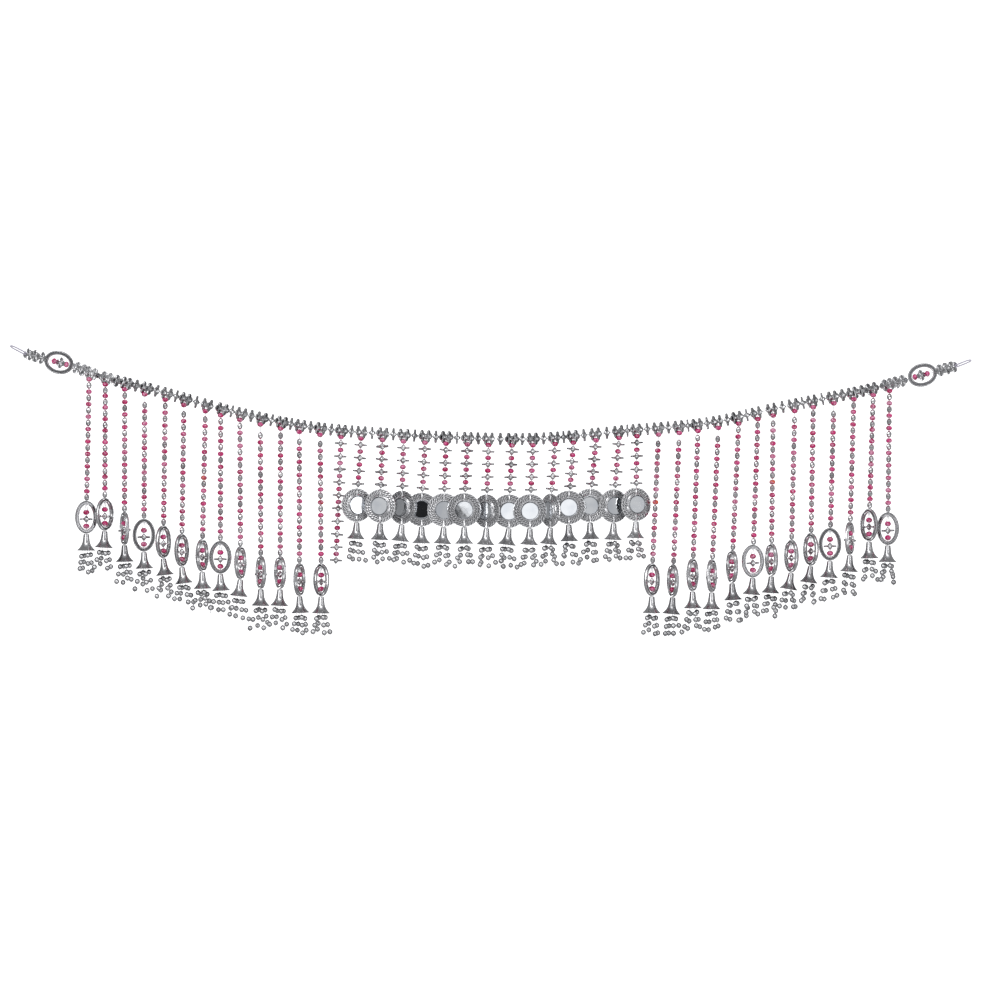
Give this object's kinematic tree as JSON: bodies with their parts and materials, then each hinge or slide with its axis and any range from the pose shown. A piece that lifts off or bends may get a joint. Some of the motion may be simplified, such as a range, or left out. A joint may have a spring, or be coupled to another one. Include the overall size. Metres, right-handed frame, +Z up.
{
  "type": "beaded toran door hanging",
  "caption": "Beaded door hanging: a sagging garland of silver flower beads that carries long bead strings with oval frames, round mirrors, bells and ball tassels.",
  "frame": {"origin": "on the straight line between the tips of the two hanging loops, over the middle of the garland, in the garland's own plane", "axes": "+X along the doorway, to the right as seen from the front; +Y from front to back, into the wall; +Z up"},
  "size_m": [0.9616, 0.0342, 0.2882],
  "materials": {
    "silver_plated_plastic": "bright silver plating on moulded plastic, slightly soft in its reflections",
    "mirror_glass": "silvered glass, polished",
    "clear_nylon": "clear nylon line, glossy"
  },
  "bodies": {
    "root": {"garland": "silver_plated_plastic", "end_frame_left": "silver_plated_plastic", "end_frame_right": "silver_plated_plastic", "wing_string_left_01": "silver_plated_plastic", "wing_string_left_02": "silver_plated_plastic", "wing_string_left_03": "silver_plated_plastic", "wing_string_left_04": "silver_plated_plastic", "wing_string_left_05": "silver_plated_plastic", "wing_string_left_06": "silver_plated_plastic", "wing_string_left_07": "silver_plated_plastic", "wing_string_left_08": "silver_plated_plastic", "wing_string_left_09": "silver_plated_plastic", "wing_string_left_10": "silver_plated_plastic", "wing_string_left_11": "silver_plated_plastic", "wing_string_left_12": "silver_plated_plastic", "wing_string_left_13": "silver_plated_plastic", "wing_string_right_01": "silver_plated_plastic", "wing_string_right_02": "silver_plated_plastic", "wing_string_right_03": "silver_plated_plastic", "wing_string_right_04": "silver_plated_plastic", "wing_string_right_05": "silver_plated_plastic", "wing_string_right_06": "silver_plated_plastic", "wing_string_right_07": "silver_plated_plastic", "wing_string_right_08": "silver_plated_plastic", "wing_string_right_09": "silver_plated_plastic", "wing_string_right_10": "silver_plated_plastic", "wing_string_right_11": "silver_plated_plastic", "wing_string_right_12": "silver_plated_plastic", "wing_string_right_13": "silver_plated_plastic", "mirror_string_01": "silver_plated_plastic", "mirror_string_02": "silver_plated_plastic", "mirror_string_03": "silver_plated_plastic", "mirror_string_04": "silver_plated_plastic", "mirror_string_05": "silver_plated_plastic", "mirror_string_06": "silver_plated_plastic", "mirror_string_07": "silver_plated_plastic", "mirror_string_08": "silver_plated_plastic", "mirror_string_09": "silver_plated_plastic", "mirror_string_10": "silver_plated_plastic", "mirror_string_11": "silver_plated_plastic", "mirror_string_12": "silver_plated_plastic", "mirror_string_13": "silver_plated_plastic", "mirror_string_14": "silver_plated_plastic", "plain_string": "silver_plated_plastic", "mirror_01": "mirror_glass", "mirror_02": "mirror_glass", "mirror_03": "mirror_glass", "mirror_04": "mirror_glass", "mirror_05": "mirror_glass", "mirror_06": "mirror_glass", "mirror_07": "mirror_glass", "mirror_08": "mirror_glass", "mirror_09": "mirror_glass", "mirror_10": "mirror_glass", "mirror_11": "mirror_glass", "mirror_12": "mirror_glass", "mirror_13": "mirror_glass", "mirror_14": "mirror_glass", "hanging_loop_left": "clear_nylon", "hanging_loop_right": "clear_nylon"}
  },
  "joints": []
}
